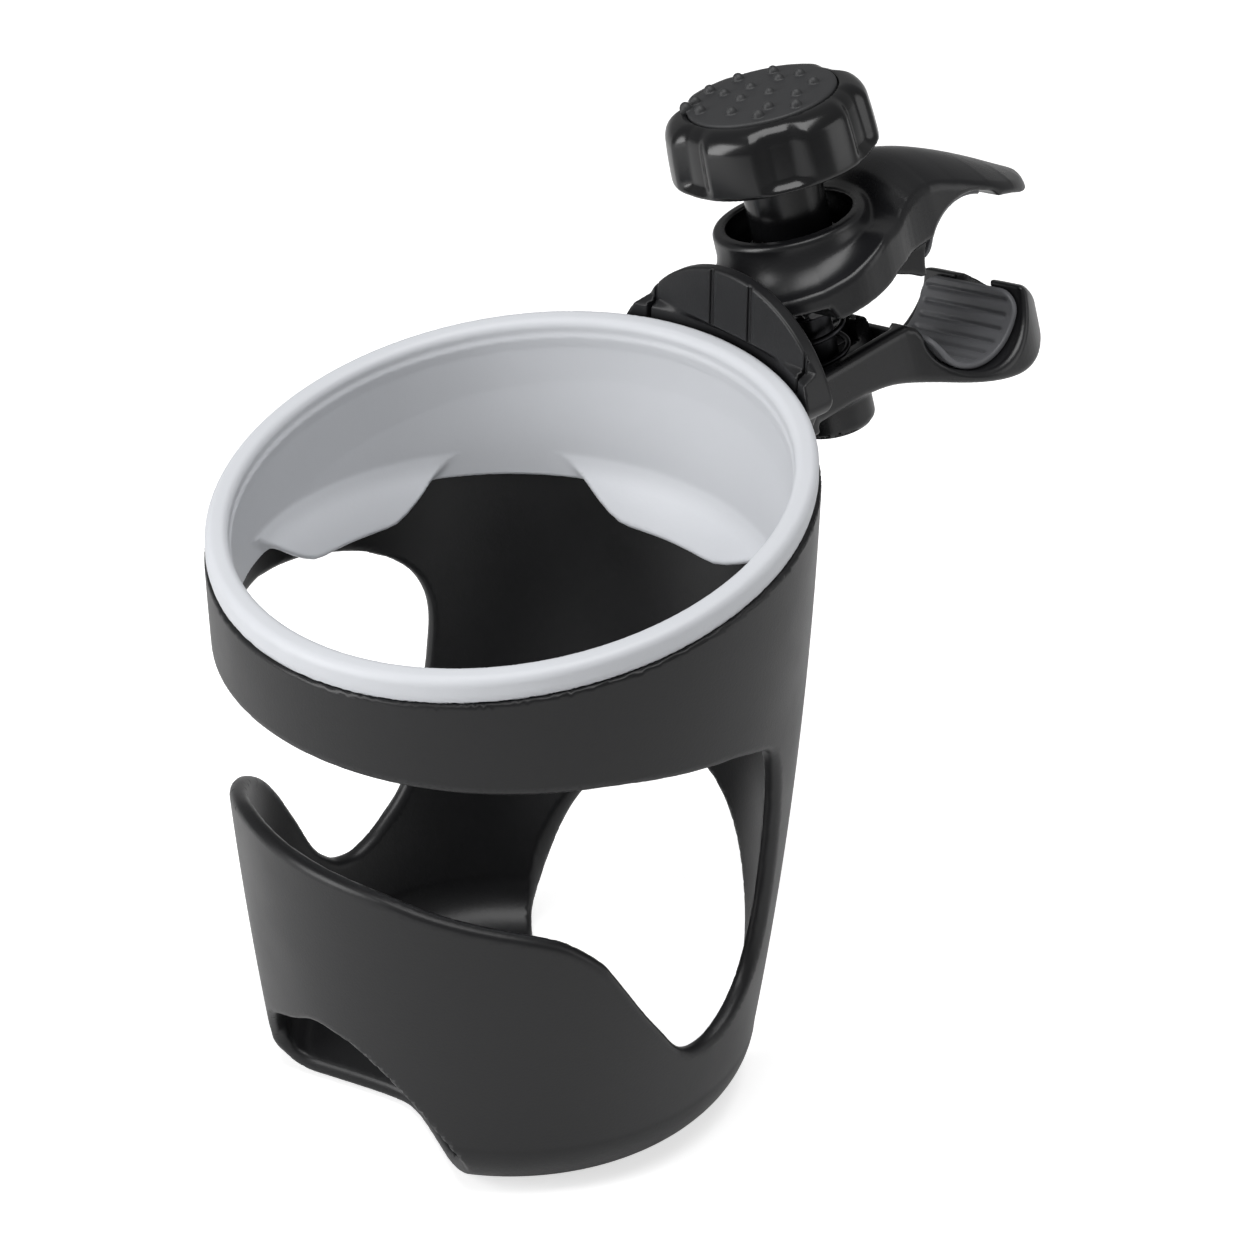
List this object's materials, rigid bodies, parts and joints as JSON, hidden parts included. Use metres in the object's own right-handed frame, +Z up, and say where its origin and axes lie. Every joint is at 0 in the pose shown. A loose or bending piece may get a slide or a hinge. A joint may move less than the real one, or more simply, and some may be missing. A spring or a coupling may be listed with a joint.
{
  "type": "clamp-on cup holder",
  "caption": "Open tapered cup holder with a soft grip rim on a swivel plate, carried by a screw clamp with two jaws that grips a tube or rail.",
  "frame": {"origin": "on the cup axis in the plane of the cup's foot", "axes": "+Z up the cup axis, +X from the cup towards the clamp along the swivel axis, cup mirror plane y = 0"},
  "size_m": [0.1542, 0.09, 0.1461],
  "materials": {
    "shell_black": "satin moulded",
    "clamp_black": "satin moulded",
    "knob_black": "gloss",
    "cap_black": "matt",
    "liner_grey": "matt soft-touch",
    "pad_grey": "ribbed matt",
    "zinc_steel": "zinc plated",
    "spring_steel": "plain"
  },
  "bodies": {
    "clamp": {"lower_jaw": "clamp_black", "lower_pad": "pad_grey", "hinge_pin": "zinc_steel", "pin_retainers": "zinc_steel", "clamp_nut": "zinc_steel", "nut_cover": "clamp_black", "swivel_bolt": "zinc_steel", "swivel_nut": "zinc_steel", "swivel_washer": "zinc_steel", "friction_washer": "spring_steel", "opening_spring": "spring_steel"},
    "upper": {"upper_jaw": "clamp_black", "upper_pad": "pad_grey"},
    "carriage": {"thrust_washer": "zinc_steel"},
    "knob": {"clamp_screw": "zinc_steel", "knob_sleeve": "knob_black", "knob_body": "knob_black", "knob_cap": "cap_black"},
    "cup": {"cup_shell": "shell_black", "grip_liner": "liner_grey", "cup_bracket": "shell_black", "bracket_screws": "zinc_steel"}
  },
  "joints": [
    {"name": "screw_travel", "type": "slide", "parent": "clamp", "child": "carriage", "axis": [0.119, -0.2147, -0.9694], "range_m": [0, 0.00345]},
    {"name": "knob_turn", "type": "hinge", "parent": "carriage", "child": "knob", "pos_m": [0.06489, 0.0015, 0.10153], "axis": [-0.119, 0.2147, 0.9694], "range_deg": [-1242.5, 0]},
    {"name": "jaw_close", "type": "hinge", "parent": "clamp", "child": "upper", "pos_m": [0.05064, 0.00356, 0.10923], "axis": [-0.0262, -0.9767, 0.2131], "range_deg": [-14.8, 0], "deforming": ["opening_spring"]},
    {"name": "swivel", "type": "hinge", "parent": "clamp", "child": "cup", "pos_m": [0.0466, 0, 0.1], "axis": [1, 0, 0], "continuous": true}
  ],
  "couplings": [
    {"joint": "knob_turn", "follows": "screw_travel", "rad_per_m": -6283.2},
    {"joint": "jaw_close", "follows": "screw_travel", "rad_per_m": -74.86}
  ]
}
